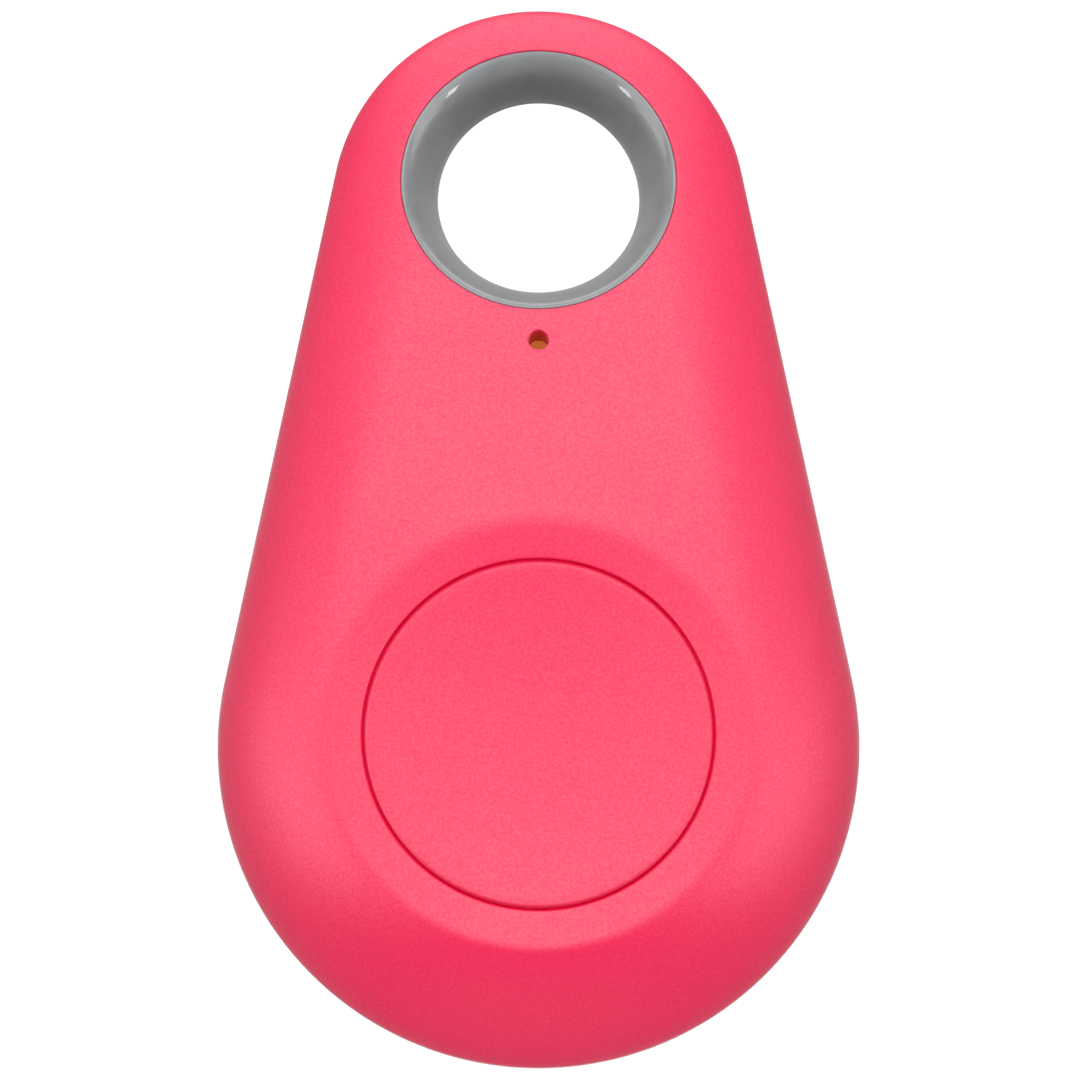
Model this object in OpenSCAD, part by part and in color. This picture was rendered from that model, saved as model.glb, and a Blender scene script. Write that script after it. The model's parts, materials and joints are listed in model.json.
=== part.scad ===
// Bluetooth tracker tag: a teardrop tag for a key ring, in two snap-together shells.
// The tag lies on its back: +Z points out of the front, +Y runs towards the ring hole,
// and the origin is the middle of the footprint on the resting plane. Millimetres.

/* [Body] */
// Length from the round end to the ring end
body_len = 52; // [51.5:0.25:53]
// Radius of the outline's round end
big_r = 15.5; // [15.25:0.25:16]
// Radius of the outline's ring end
small_r = 10.2; // [10:0.1:10.6]
// Thickness of the tag at the button
body_t = 11; // [11:0.1:11.5]
// Height of the parting line between the shells
seam_z = 5.2; // [5.2:0.05:5.3]
// Wall of both shells
wall = 1.2; // [1.1:0.05:1.3]
// Fall of the front face away from the dish, per mm
front_slope = 0.162; // [0.15:0.002:0.17]
// How much steeper the front falls at the round end, per mm
chin_slope = 0.36; // [0.3:0.02:0.4]
// Rise of the back face towards the ring end, per mm
rear_slope = 0.1; // [0.08:0.005:0.11]

/* [Button] */
// Radius of the button's visible face
button_r = 8.25; // [8:0.05:8.3]
// Gap round the button
button_gap = 0.12; // [0.1:0.02:0.2]
// How far the button's flange reaches under the shell
button_flange = 1.05; // [0.95:0.05:1.05]
// Radius of the dished area round the button
dish_r = 10.2; // [10:0.1:10.3]
// Depth of the dish at its middle
dish_depth = 1; // [0.8:0.05:1]

/* [Ring hole] */
// Place of the ring hole along the tag
ring_y = 16.9; // [16.7:0.1:17]
// Radius of the liner where it shows in the shells
liner_r = 6.7; // [6.6:0.05:6.75]
// Radius of the liner's throat, where a key ring passes
throat_r = 5; // [4.8:0.1:5.1]
// Length of the throat's straight land
throat_len = 0.8; // [0.6:0.1:0.9]
// Middle of the throat above the resting plane
throat_z = 3.4; // [3.4:0.1:3.8]

/* [Electronics] */
// Radius of the coin cell
cell_r = 10; // [9.9:0.05:10]
// Height of the coin cell
cell_h = 3.2; // [3:0.1:3.2]
// Underside of the circuit board
board_z = 5.25; // [5.25:0.01:5.3]
// Thickness of the circuit board
board_t = 0.8; // [0.6:0.1:0.8]
// Place of the status light along the tag
led_y = 8.61; // [8.5:0.01:8.7]
// Radius of the light's hole
led_r = 0.48; // [0.44:0.02:0.52]

/* [Hidden] */

$fn = 96;
eps = 0.01;

// Outline: two round ends joined by straight flanks
big_y = -body_len / 2 + big_r;
small_y = body_len / 2 - small_r;
flank = asin((big_r - small_r) / (small_y - big_y));
arc_steps = 14;
flank_steps = 6;
outer_steps = 8;
inner_steps = 5;
face_steps = 12;
// The faces roll down to the parting line from the ridge of the dish outwards
edge_roll = big_r - dish_r;
// The back face starts to rise here, blended over this half width
slope_start = big_y + dish_r;
slope_blend = 3;

// Planes that follow the faces across the ring hole: height at the hole's middle and slope
ring_top = 8.02;
ring_top_slope = 0.186;
ring_base = 1.9;
ring_base_slope = 0.131;
ring_gap = 0.08;
flange_r = 7.1;
flange_z = [4.9, 5.5];
tube_r = 7.4;

// The locating lip of the front shell
lip_out = 1.42;
lip_in = 2.15;
lip_drop = 0.9;
cell_way = 10.8;

// The board, its posts (place and height of the root) and the stack of the switch
board_top = board_z + board_t;
board_inset = 2.45;
board_notch = tube_r + 0.15;
posts = [[9.2, 1.5, 9.3], [6.4, -19, 9.9]];
post_r = 1.2;
pin_r = 0.6;
switch_w = 5.2;
switch_h = 1.2;
cover_t = 0.2;
plunger_r = 1.15;
plunger_top = 8.08;
// Underside of the button's skin
skin_z = 8.95;
dome_z = board_top + 0.3;

// The light well drops from the front shell to just above the status light
led_top = board_top + 0.7;
well_r = led_r + 0.45;
well_z = [led_top + 0.15, 8.8];

// The coin cell hangs in its clip under the board
cell_top = board_z - 0.3;
cell_z = cell_top - cell_h;
sheet = 0.25;
clip_w = 8;
clip_gap = 0.35;

// The buzzer stands between the cell and the ring hole
buzzer_y = 4.6;
buzzer_w = 8.5;
buzzer_z = 2.3;
buzzer_base_t = 0.25;

pink = [0.98, 0.3, 0.42];
grey = [0.5, 0.5, 0.51];
green = [0.05, 0.3, 0.18];
black = [0.08, 0.08, 0.09];
steel = [0.75, 0.76, 0.78];
gold = [0.85, 0.68, 0.3];

// How far the front lies below its top: it falls away all round the dish, most at the round end
front_fall = function (x, y)
    let (r = norm([x, y - big_y]), chin = pow((1 - (y - big_y) / max(r, 1)) / 2, 3))
    (front_slope + chin_slope * chin) * max(r - dish_r, 0);
// How far the back lies above the resting plane: it rises towards the ring end
rear_fall = function (x, y)
    let (u = y - slope_start)
    rear_slope * (u < -slope_blend ? 0 : u > slope_blend ? u : pow(u + slope_blend, 2) / (4 * slope_blend));
function arc_spot(r, y, a) = [r * cos(a), y + r * sin(a), cos(a), sin(a)];
function left_spot(s) = [-s[0], s[1], -s[2], s[3]];

// Right half of the outline from the round end up: place and outward direction of each spot
right_spots = concat(
    [for (i = [0 : arc_steps]) arc_spot(big_r, big_y, -90 + (90 + flank) * i / arc_steps)],
    [for (i = [1 : flank_steps - 1]) let (t = i / flank_steps)
        arc_spot(big_r, big_y, flank) * (1 - t) + arc_spot(small_r, small_y, flank) * t],
    [for (i = [0 : arc_steps]) arc_spot(small_r, small_y, flank + (90 - flank) * i / arc_steps)]
);
half_count = len(right_spots);
spots = concat(right_spots, [for (i = [half_count - 2 : -1 : 1]) left_spot(right_spots[i])]);
count = len(spots);

// One ring of a shell: t is the wall to leave, a runs from the parting line (0) to the face (90)
function shell_ring(full, fall, t, a) = [
    for (s = spots)
        let (d = t + (edge_roll - t) * (1 - cos(a)), x = s[0] - d * s[2], y = s[1] - d * s[3])
        [x, y, (full - fall(x, y) - t) * sin(a)]
];
function ring_walls(first, second) = [
    for (i = [0 : count - 1]) let (j = (i + 1) % count)
        each [[first + i, second + i, first + j], [first + j, second + i, second + j]]
];
// Rows of points across the last ring, whose spots lie in pairs left and right of the middle line
function face_rows(ring, full, fall, t) = [
    for (i = [1 : half_count - 2], k = [1 : face_steps - 1])
        let (x = ring[i][0] * (1 - 2 * k / face_steps), y = ring[i][1])
        [x, y, full - fall(x, y) - t]
];
// The point of row i and column k: the rows' ends are the ring's own spots
function row_spot(first, rows, i, k) =
    i == 0 || k == 0 ? first + i
    : i == half_count - 1 ? first + i
    : k == face_steps ? first + count - i
    : rows + (i - 1) * (face_steps - 1) + k - 1;
function face_cap(first, rows) = [
    for (i = [0 : half_count - 2], k = [0 : face_steps - 1])
        let (
            a = row_spot(first, rows, i, k),
            b = row_spot(first, rows, i, k + 1),
            c = row_spot(first, rows, i + 1, k + 1),
            d = row_spot(first, rows, i + 1, k)
        )
        each [if (a != b) [a, b, c], if (c != d) [a, c, d]]
];
function turned(faces) = [for (f = faces) [for (i = [len(f) - 1 : -1 : 0]) f[i]]];

// Half a hollow pebble, open at the parting line
module shell_cup(full, fall) {
    inner_first = (outer_steps + 1) * count;
    outer_rows = inner_first + (inner_steps + 1) * count;
    inner_rows = outer_rows + (half_count - 2) * (face_steps - 1);
    outer_rings = [for (k = [0 : outer_steps]) shell_ring(full, fall, 0, 90 * k / outer_steps)];
    inner_rings = [for (k = [0 : inner_steps]) shell_ring(full, fall, wall, 90 * k / inner_steps)];
    polyhedron(
        points = concat(
            [for (r = outer_rings) each r],
            [for (r = inner_rings) each r],
            face_rows(outer_rings[outer_steps], full, fall, 0),
            face_rows(inner_rings[inner_steps], full, fall, wall)
        ),
        faces = concat(
            [for (k = [0 : outer_steps - 1]) each ring_walls(k * count, (k + 1) * count)],
            face_cap(outer_steps * count, outer_rows),
            turned([for (k = [0 : inner_steps - 1])
                each ring_walls(inner_first + k * count, inner_first + (k + 1) * count)]),
            turned(face_cap(inner_first + inner_steps * count, inner_rows)),
            turned(ring_walls(0, inner_first))
        )
    );
}

// The tag's outline, drawn in by d
module outline(d) {
    translate([0, big_y]) circle(r = big_r - d);
    translate([0, small_y]) circle(r = small_r - d);
    polygon([for (side = [[1, big_r, big_y], [1, small_r, small_y], [-1, small_r, small_y], [-1, big_r, big_y]])
        [side[0] * (side[1] - d) * cos(flank), side[2] + (side[1] - d) * sin(flank)]]);
}

// Everything above a plane that falls towards the ring end
module above_plane(z, slope) {
    translate([0, ring_y, z]) rotate([-atan(slope), 0, 0]) translate([-20, -20, 0]) cube([40, 40, 20]);
}

module below_plane(z, slope) {
    translate([0, ring_y, z]) rotate([atan(slope), 0, 0]) translate([-20, -20, -20]) cube([40, 40, 20]);
}

module disc(r, z0, z1) {
    translate([0, 0, z0]) cylinder(r = r, h = z1 - z0);
}

module tube(r_out, r_in, z0, z1) {
    difference() {
        disc(r_out, z0, z1);
        disc(r_in, z0 - 1, z1 + 1);
    }
}

module block(x, y, w, l, z0, z1) {
    translate([x - w / 2, y - l / 2, z0]) cube([w, l, z1 - z0]);
}

module mirrored() {
    children();
    mirror([1, 0, 0]) children();
}

// The hollow of the dish: a shallow spherical cap
module dish() {
    ball_r = (pow(dish_r, 2) + pow(dish_depth, 2)) / (2 * dish_depth);
    translate([0, big_y, body_t - dish_depth + ball_r]) sphere(r = ball_r, $fn = 180);
}

// Front and back shells

module rear_shell() {
    color(pink) difference() {
        union() {
            translate([0, 0, seam_z]) mirror([0, 0, 1]) shell_cup(seam_z, rear_fall);
            difference() {
                translate([0, ring_y, 0]) tube(tube_r, liner_r + ring_gap, 1, flange_z[0] - ring_gap);
                below_plane(ring_base + wall / 2, ring_base_slope);
            }
        }
        translate([0, ring_y, 0]) disc(liner_r + ring_gap, -1, body_t);
    }
}

// Side lips that drop inside the back shell and leave the coin cell's way out free
module locating_lip() {
    difference() {
        union() {
            translate([0, 0, seam_z - lip_drop]) linear_extrude(lip_drop + 0.2) difference() {
                outline(lip_out);
                outline(lip_in);
            }
            translate([0, 0, seam_z + 0.1]) linear_extrude(1) difference() {
                outline(wall - 0.25);
                outline(lip_in);
            }
        }
        block(0, -body_len / 2, 2 * cell_way, 2 * big_r, 0, body_t);
        block(0, body_len / 2, 2 * small_r, 2 * (body_len / 2 - ring_y + tube_r), 0, body_t);
    }
}

module front_shell() {
    color(pink) difference() {
        union() {
            translate([0, 0, seam_z]) shell_cup(body_t - seam_z, front_fall);
            locating_lip();
            mirrored() for (p = posts) translate([p[0], p[1], 0]) {
                disc(post_r, board_top + eps, p[2]);
                disc(pin_r, board_z + 0.1, p[2]);
            }
            difference() {
                translate([0, ring_y, 0])
                    tube(tube_r, liner_r + ring_gap, flange_z[1] + ring_gap, ring_top + 2);
                above_plane(ring_top - wall / 2, ring_top_slope);
            }
            translate([0, led_y, 0]) disc(well_r, well_z[0], well_z[1]);
        }
        dish();
        translate([0, big_y, 0]) disc(button_r + button_gap, board_z, body_t + 1);
        translate([0, ring_y, 0]) disc(liner_r + ring_gap, 0, body_t);
        translate([0, ring_y, 0]) disc(flange_r + ring_gap, 0, flange_z[1] + ring_gap);
        translate([0, led_y, 0]) disc(led_r, board_top, body_t);
    }
}

// Flare from the throat out to the face round the ring hole; it follows the face's slope
module flare(z_land, z_face, slope) {
    flare_count = 48;
    steps = 6;
    over = 0.4;
    rim_r = liner_r - 0.12;
    throat_in = throat_r - 0.02;
    function spot(i, k) =
        let (
            a = 360 * i / flare_count,
            u = 90 * k / steps,
            r = rim_r - (rim_r - throat_in) * sin(u),
            z_rim = z_face - slope * rim_r * sin(a)
        )
        [r * cos(a), r * sin(a), z_rim - (z_rim - z_land) * (1 - cos(u))];
    rings = concat(
        [[for (i = [0 : flare_count - 1]) spot(i, 0) + [0, 0, over]]],
        [for (k = [0 : steps]) [for (i = [0 : flare_count - 1]) spot(i, k)]]
    );
    last = (steps + 1) * flare_count;
    polyhedron(
        points = [for (r = rings) each r],
        faces = concat(
            [[for (i = [flare_count - 1 : -1 : 0]) i]],
            [for (k = [0 : steps], i = [0 : flare_count - 1])
                let (j = (i + 1) % flare_count, a = k * flare_count, b = a + flare_count)
                each [[a + i, a + j, b + i], [a + j, b + j, b + i]]],
            [[for (i = [0 : flare_count - 1]) last + i]]
        )
    );
}

module ring_liner() {
    land = [throat_z - throat_len / 2, throat_z + throat_len / 2];
    color(grey) difference() {
        translate([0, ring_y, 0]) union() {
            disc(liner_r, 0.5, body_t);
            disc(flange_r, flange_z[0], flange_z[1]);
        }
        above_plane(ring_top, ring_top_slope);
        below_plane(ring_base, ring_base_slope);
        translate([0, ring_y, 0]) disc(throat_r, 0, body_t);
        translate([0, ring_y, 0]) flare(land[1], ring_top, ring_top_slope);
        translate([0, ring_y, 0]) mirror([0, 0, 1]) flare(-land[0], -ring_base, ring_base_slope);
    }
}

// The button: its dished face carries on the hollow of the shell round it

module button_cap() {
    flange_t = 0.6;
    boss_r = 1.5;
    rib = [13, 0.7, 0.4];
    color(pink) difference() {
        translate([0, big_y, 0]) union() {
            disc(button_r, skin_z, body_t);
            disc(button_r + button_flange, skin_z, skin_z + flange_t);
            disc(boss_r, plunger_top + 0.02, skin_z + eps);
            for (a = [0, 90]) rotate([0, 0, a]) block(0, 0, rib[0], rib[1], skin_z - rib[2], skin_z + eps);
        }
        dish();
    }
}

// The circuit board

module circuit_board() {
    color(green) difference() {
        translate([0, 0, board_z]) linear_extrude(board_t) difference() {
            outline(board_inset);
            translate([0, ring_y]) circle(r = board_notch);
            translate([-20, ring_y - board_notch + 1.6]) square([40, 40]);
        }
        mirrored() for (p = posts) translate([p[0], p[1], 0]) disc(pin_r + 0.05, 0, body_t);
    }
}

// The button's switch, from the board up

module switch_base() {
    color(black) difference() {
        block(0, big_y, switch_w, switch_w, board_top + eps, board_top + switch_h);
        translate([0, big_y, 0]) disc(2, dome_z, board_top + switch_h + 1);
    }
}

module switch_dome() {
    rise = 0.33;
    foot_r = 1.8;
    thick = 0.07;
    ball_r = (pow(foot_r, 2) + pow(rise, 2)) / (2 * rise);
    color(steel) translate([0, big_y, dome_z + eps]) intersection() {
        disc(foot_r, 0, 1);
        translate([0, 0, rise - ball_r]) difference() {
            sphere(r = ball_r, $fn = 240);
            sphere(r = ball_r - thick, $fn = 240);
        }
    }
}

module switch_plunger() {
    shoulder_z = dome_z + 0.4;
    color("ivory") translate([0, big_y, 0]) {
        disc(plunger_r, shoulder_z, plunger_top);
        disc(1.7, shoulder_z, shoulder_z + 0.4);
    }
}

module switch_cover() {
    z = board_top + switch_h + eps;
    color(steel) difference() {
        union() {
            block(0, big_y, switch_w + 0.44, switch_w, z, z + cover_t);
            mirrored() block(switch_w / 2 + 0.12, big_y, 0.2, 2, board_top + 0.4, z + cover_t);
        }
        translate([0, big_y, 0]) disc(plunger_r + 0.1, 0, body_t);
    }
}

module switch_terminals() {
    color(steel) mirrored() for (y = [-1.6, 1.6])
        block(switch_w / 2 + 0.46, big_y + y, 0.9, 0.7, board_top + eps, board_top + 0.16);
}

// Parts soldered to the front of the board

module chip(x, y, w, l, h) {
    block(x, y, w, l, board_top + eps, board_top + h);
}

module radio_chip() {
    color(black) chip(-5.6, -2.6, 5, 5, 0.85);
}

module main_crystal() {
    color(steel) chip(-5.4, 3, 3.2, 2.5, 0.7);
}

module clock_crystal() {
    color(steel) chip(-0.6, 1.4, 3.2, 1.5, 0.75);
}

module chip_antenna() {
    color("white") chip(5, 5.6, 5.2, 2, 1.1);
}

module chip_inductor() {
    color(black) chip(1.2, -3.4, 2, 1.6, 1);
}

module buzzer_transistor() {
    body = [4.6, -0.6];
    color(black) chip(body[0], body[1], 2.9, 1.3, 1);
    color(steel) for (lead = [[-0.95, -0.9], [0.95, -0.9], [0, 0.9]])
        chip(body[0] + lead[0], body[1] + lead[1], 0.4, 0.48, 0.15);
}

module chip_resistors() {
    color(black) {
        for (x = [-6.2, -4.2, 4.4, 6.4]) chip(x, -17.2, 1, 0.5, 0.35);
        for (y = [-8.6, -10.2, -11.8]) chip(7.6, y, 0.5, 1, 0.35);
        for (x = [-1.8, 1.8]) chip(x, 7.4, 1, 0.5, 0.35);
    }
}

module chip_capacitors() {
    color("tan") {
        for (x = [-7.4, -5.6, -3.8]) chip(x, -6.6, 0.5, 1, 0.5);
        for (y = [-4.2, -2.6]) chip(-9.6, y, 1, 0.5, 0.5);
        for (x = [3.6, 5.2]) chip(x, -4.6, 0.8, 1.6, 0.8);
        for (x = [-1.2, 1.2]) chip(x, 4, 0.5, 1, 0.5);
        chip(-7.8, -12, 0.8, 1.6, 0.8);
    }
}

// The status light looks up through the small hole between the button and the ring

module led_base() {
    color("white") chip(0, led_y + 0.12, 1.6, 0.8, 0.3);
}

module led_lens() {
    color("orange") block(0, led_y + 0.12, 1.1, 0.76, board_top + 0.3 + eps, led_top);
}

// The buzzer under the board: a magnetic sounder

module buzzer_case() {
    color(black) difference() {
        block(0, buzzer_y, buzzer_w, buzzer_w, buzzer_z, board_z - buzzer_base_t - eps);
        translate([0, buzzer_y, 0]) disc(3.6, buzzer_z + 0.5, board_z);
        translate([0, buzzer_y, 0]) disc(0.8, 0, board_z);
    }
}

module buzzer_base() {
    color(green) block(0, buzzer_y, buzzer_w - 0.1, buzzer_w - 0.1, board_z - buzzer_base_t, board_z - eps);
    color(steel) translate([0, buzzer_y, 0]) disc(0.8, 3.4, board_z - buzzer_base_t);
}

module buzzer_magnet() {
    color(steel) translate([0, buzzer_y, 0]) tube(3.5, 2.7, 3.1, board_z - buzzer_base_t - eps);
}

module buzzer_coil() {
    color("chocolate") translate([0, buzzer_y, 0]) tube(2.3, 0.9, 3.5, board_z - buzzer_base_t - eps);
}

module buzzer_diaphragm() {
    color(steel) translate([0, buzzer_y, 0]) {
        disc(3.5, 3.03, 3.09);
        disc(1.3, 2.85, 3.03);
    }
}

// The clip that holds the coin cell under the board, and its two contacts

module battery_clip() {
    arm_x = cell_r + clip_gap;
    strap_z = cell_z - 0.05 - sheet;
    stop_y = big_y + cell_r + 0.3;
    color(steel) {
        block(0, big_y, 2 * (arm_x + sheet), clip_w, strap_z, strap_z + sheet);
        block(0, (big_y + stop_y + sheet) / 2, 4, stop_y + sheet - big_y, strap_z, strap_z + sheet);
        block(0, stop_y + sheet / 2, 4, sheet, strap_z, cell_top - 0.6);
        mirrored() {
            block(arm_x + sheet / 2, big_y, sheet, clip_w, strap_z, board_z - eps);
            block(arm_x + 0.7, big_y, 1.4, clip_w, board_z - sheet, board_z - eps);
        }
    }
}

module negative_contact() {
    leaf_t = 0.1;
    color(gold) {
        block(0, big_y, 3, 6, board_z - leaf_t, board_z - eps);
        for (x = [-1, 1]) translate([x * 1.8 - 0.5, big_y, 0]) rotate([90, 0, 90]) linear_extrude(1)
            polygon([[-3, board_z - leaf_t], [-3, board_z - eps], [-0.8, board_z - eps],
                [2.6, cell_top + 0.12], [3.4, cell_top + 0.12], [3.4, cell_top + 0.02],
                [2.5, cell_top + 0.02], [-0.9, board_z - leaf_t]]);
    }
}

// The coin cell: positive can below, negative cap above

module turned_part(profile) {
    translate([0, big_y, cell_z]) rotate_extrude() polygon(profile);
}

module cell_can() {
    h = cell_h - 0.2;
    color(steel) turned_part([[0, 0], [cell_r - 0.3, 0], [cell_r, 0.3], [cell_r, h - 0.25],
        [cell_r - 0.25, h], [cell_r - 0.75, h], [cell_r - 0.75, h - sheet], [cell_r - sheet, h - sheet],
        [cell_r - sheet, sheet], [0, sheet]]);
}

module cell_gasket() {
    h = cell_h - 0.2;
    color(black) turned_part([[cell_r - 1.08, sheet + eps], [cell_r - sheet - eps, sheet + eps],
        [cell_r - sheet - eps, h - sheet - eps], [cell_r - 0.76, h - sheet - eps],
        [cell_r - 0.76, h], [cell_r - 1.08, h]]);
}

module cell_cap() {
    r = cell_r - 1.1;
    color(steel) turned_part([[0, cell_h], [r - 0.4, cell_h], [r, cell_h - 0.35], [r, 0.45],
        [r - sheet, 0.45], [r - sheet, cell_h - 0.4], [r - 0.5, cell_h - sheet], [0, cell_h - sheet]]);
}

module cell_cathode() {
    color(black) turned_part([[0, sheet + eps], [8.3, sheet + eps], [8.3, 1.6], [0, 1.6]]);
}

module cell_separator() {
    color("white") turned_part([[0, 1.6 + eps], [8.4, 1.6 + eps], [8.4, 1.7], [0, 1.7]]);
}

module cell_anode() {
    color(steel) turned_part([[0, 1.7 + eps], [8, 1.7 + eps], [8, 2.5], [0, 2.5]]);
}

rear_shell();
ring_liner();
front_shell();
button_cap();
circuit_board();
switch_base();
switch_dome();
switch_plunger();
switch_cover();
switch_terminals();
radio_chip();
main_crystal();
clock_crystal();
chip_antenna();
chip_inductor();
buzzer_transistor();
chip_resistors();
chip_capacitors();
led_base();
led_lens();
buzzer_case();
buzzer_base();
buzzer_magnet();
buzzer_coil();
buzzer_diaphragm();
battery_clip();
negative_contact();
cell_can();
cell_cap();
cell_gasket();
cell_cathode();
cell_separator();
cell_anode();
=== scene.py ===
import json
import math

import bmesh
import bpy
import numpy as np
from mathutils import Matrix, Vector
from mathutils.geometry import delaunay_2d_cdt


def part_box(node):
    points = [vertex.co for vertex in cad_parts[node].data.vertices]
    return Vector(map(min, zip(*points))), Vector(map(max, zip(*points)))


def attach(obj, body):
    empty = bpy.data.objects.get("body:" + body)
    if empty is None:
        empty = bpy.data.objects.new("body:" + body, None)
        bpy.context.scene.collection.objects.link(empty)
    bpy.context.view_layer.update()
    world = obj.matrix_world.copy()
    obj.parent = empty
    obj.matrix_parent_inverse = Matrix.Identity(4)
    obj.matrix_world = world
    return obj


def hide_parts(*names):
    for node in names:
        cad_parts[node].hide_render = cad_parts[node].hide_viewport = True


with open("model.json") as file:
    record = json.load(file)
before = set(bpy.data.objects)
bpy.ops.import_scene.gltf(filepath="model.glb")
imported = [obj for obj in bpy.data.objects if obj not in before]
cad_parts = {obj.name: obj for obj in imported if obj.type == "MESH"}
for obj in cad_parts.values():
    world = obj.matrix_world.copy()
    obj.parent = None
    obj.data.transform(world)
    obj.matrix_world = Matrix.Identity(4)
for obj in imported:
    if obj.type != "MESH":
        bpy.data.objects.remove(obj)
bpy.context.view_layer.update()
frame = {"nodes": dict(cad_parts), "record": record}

# ---------------------------------------------------------------- sizes, in millimetres

MM = 0.001


def box_mm(node):
    low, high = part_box(node)
    return np.array(low) / MM, np.array(high) / MM


def mount(name):
    return next(m for m in frame["record"]["mounts"] if m["name"] == name)


front_low, front_high = box_mm("front_shell")
liner_low, liner_high = box_mm("ring_liner")
button_low, button_high = box_mm("button_cap")

# The case: two round ends joined by straight flanks, split at the seam. The front falls away from
# the dish by its slope, and more steeply at the round end; the back rises towards the ring end.
BIG_R = 15.5
SMALL_R = 10.2
BIG_Y = front_low[1] + BIG_R
SMALL_Y = front_high[1] - SMALL_R
TOP_Z = front_high[2]
SEAM_Z = box_mm("rear_shell")[1][2]
FLANK = math.asin((BIG_R - SMALL_R) / (SMALL_Y - BIG_Y))
FLANK_LEN = (SMALL_Y - BIG_Y) * math.cos(FLANK)
WALL = 1.2
FRONT_SLOPE = 0.162
CHIN_SLOPE = 0.36
REAR_SLOPE = 0.1
SLOPE_BLEND = 3.0
SEAM_CHAMFER = 0.09

# The dish, with its soft ridge, and the button in it
DISH_R = 10.2
DISH_DEPTH = 1.0
RIDGE_SOFTNESS = 0.17
ROLL = BIG_R - DISH_R
BALL_R = (DISH_R**2 + DISH_DEPTH**2) / (2 * DISH_DEPTH)
SLOPE_START = BIG_Y + DISH_R
BUTTON_FLANGE = (button_high[0] - button_low[0]) / 2
BUTTON_R = BUTTON_FLANGE - 1.05
BUTTON_GAP = 0.12
BUTTON_EDGE = 0.2
BUTTON_SKIN_Z = 8.95
FLANGE_THICKNESS = 0.6
BOSS_R = 1.5
RIB = (13, 0.7)

# A small step in the wall of the button's gap, which closes the gap off a little way down
LEDGE_DROP = 0.25
LEDGE_GAP = 0.02

# The ring hole, with its liner: the land is the narrow part between the two flares
RING_Y = mount("key_ring_hole")["pos_m"][1] / MM
THROAT_R = mount("key_ring_hole")["dims"]["r_mm"]
THROAT_LAND = (3.0, 3.8)
CONE = 0.25
LINER_FLANGE = (liner_high[0] - liner_low[0]) / 2
LINER_R = LINER_FLANGE - 0.4
LINER_GAP = 0.012
LINER_SET_DOWN = 0.07
LINER_EDGE = 0.05
LINER_RIM = 0.12
FLANGE_Z = (4.9, 5.5)

# The light's hole and the well under it
LED_Y = 8.61
LED_R = 0.48
WELL_R = LED_R + 0.45
WELL_BORE = LED_R + 0.01
WELL_Z = (box_mm("led_lens")[1][2] + 0.15, 8.8)

# Features inside the shells. A post has the x and y of its right-hand copy and the height of its
# root. The lip's section is given as distance in from the outline and height over the seam.
TUBE_R = 7.4
TUBE_BORE = LINER_R + 0.08
TUBE_SEAT_GAP = 0.08
TUBE_BITE = 0.3
POSTS = ((9.2, 1.5, 9.3), (6.4, -19.0, 9.9))
POST_R = 1.2
PIN_R = 0.6
PIN_TAPER = 0.1
PIN_REACH = 0.1
BOARD_LOW, BOARD_TOP = (corner[2] for corner in box_mm("circuit_board"))
LIP_ENDS = (-19.4, 9.5)
LIP_SECTION = ((1.42, -0.9), (2.15, -0.9), (2.15, 1.1), (0.95, 1.1), (0.95, 0.1), (1.42, 0.1))

# How finely the nets of the shells are laid
OUTLINE_POINTS = 420
RIDGE_POINTS = 360
RIDGE_RINGS = 13
RIDGE_BAND = 0.6
FILLET_RINGS = 6
HOLE_RINGS = 11
ROW_PITCH = 0.866
SLIVER = 0.002
INSIDE_HOLE = 0.9999


# ---------------------------------------------------------------- the faces of the case


def inset(x, y):
    """How far inside the outline a point lies."""
    x = np.abs(x)
    along = (y - BIG_Y) * math.cos(FLANK) - x * math.sin(FLANK)
    straight = BIG_R - x * math.cos(FLANK) - (y - BIG_Y) * math.sin(FLANK)
    round_end = BIG_R - np.hypot(x, y - BIG_Y)
    ring_end = SMALL_R - np.hypot(x, y - SMALL_Y)
    return np.where(along < 0, round_end, np.where(along > FLANK_LEN, ring_end, straight))


def rolled(d, start=0.0):
    """The rounded edge: 0 at the outline, 1 where the face begins."""
    t = np.clip(1 - (d - start) / (ROLL - start), 0, 1)
    return np.sqrt(1 - t**2)


def front_fall(x, y):
    """How far the front lies below its top, which is most at the round end of the case."""
    r = np.hypot(x, y - BIG_Y)
    chin = ((1 - (y - BIG_Y) / np.maximum(r, 1)) / 2) ** 3
    return (FRONT_SLOPE + CHIN_SLOPE * chin) * (r - DISH_R)


def rear_fall(y):
    """How far the back lies above the plane it rests on: it rises towards the ring end."""
    u = y - SLOPE_START
    bend = (u + SLOPE_BLEND) ** 2 / (4 * SLOPE_BLEND)
    return REAR_SLOPE * np.where(u < -SLOPE_BLEND, 0, np.where(u > SLOPE_BLEND, u, bend))


def lower_of(a, b, softness):
    """The lower of two surfaces, with the crease between them blended."""
    h = np.clip(0.5 + 0.5 * (b - a) / softness, 0, 1)
    return b * (1 - h) + a * h - softness * h * (1 - h)


def hollow(x, y):
    """The spherical hollow that the dish and the button's face share."""
    short_of_the_rim = BALL_R**2 * 0.9
    r2 = np.minimum(x**2 + (y - BIG_Y) ** 2, short_of_the_rim)
    return TOP_Z - DISH_DEPTH + BALL_R - np.sqrt(BALL_R**2 - r2)


def edge_drop(s, radius):
    """The fall of a rounded edge at distance s from it."""
    t = radius - np.clip(s, 0, radius)
    return radius - np.sqrt(np.maximum(radius**2 - t**2, 0))


def front_face(x, y):
    height = TOP_Z - SEAM_Z - SEAM_CHAMFER - front_fall(x, y)
    z = SEAM_Z + SEAM_CHAMFER + height * rolled(inset(x, y))
    return lower_of(z, hollow(x, y), RIDGE_SOFTNESS)


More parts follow.
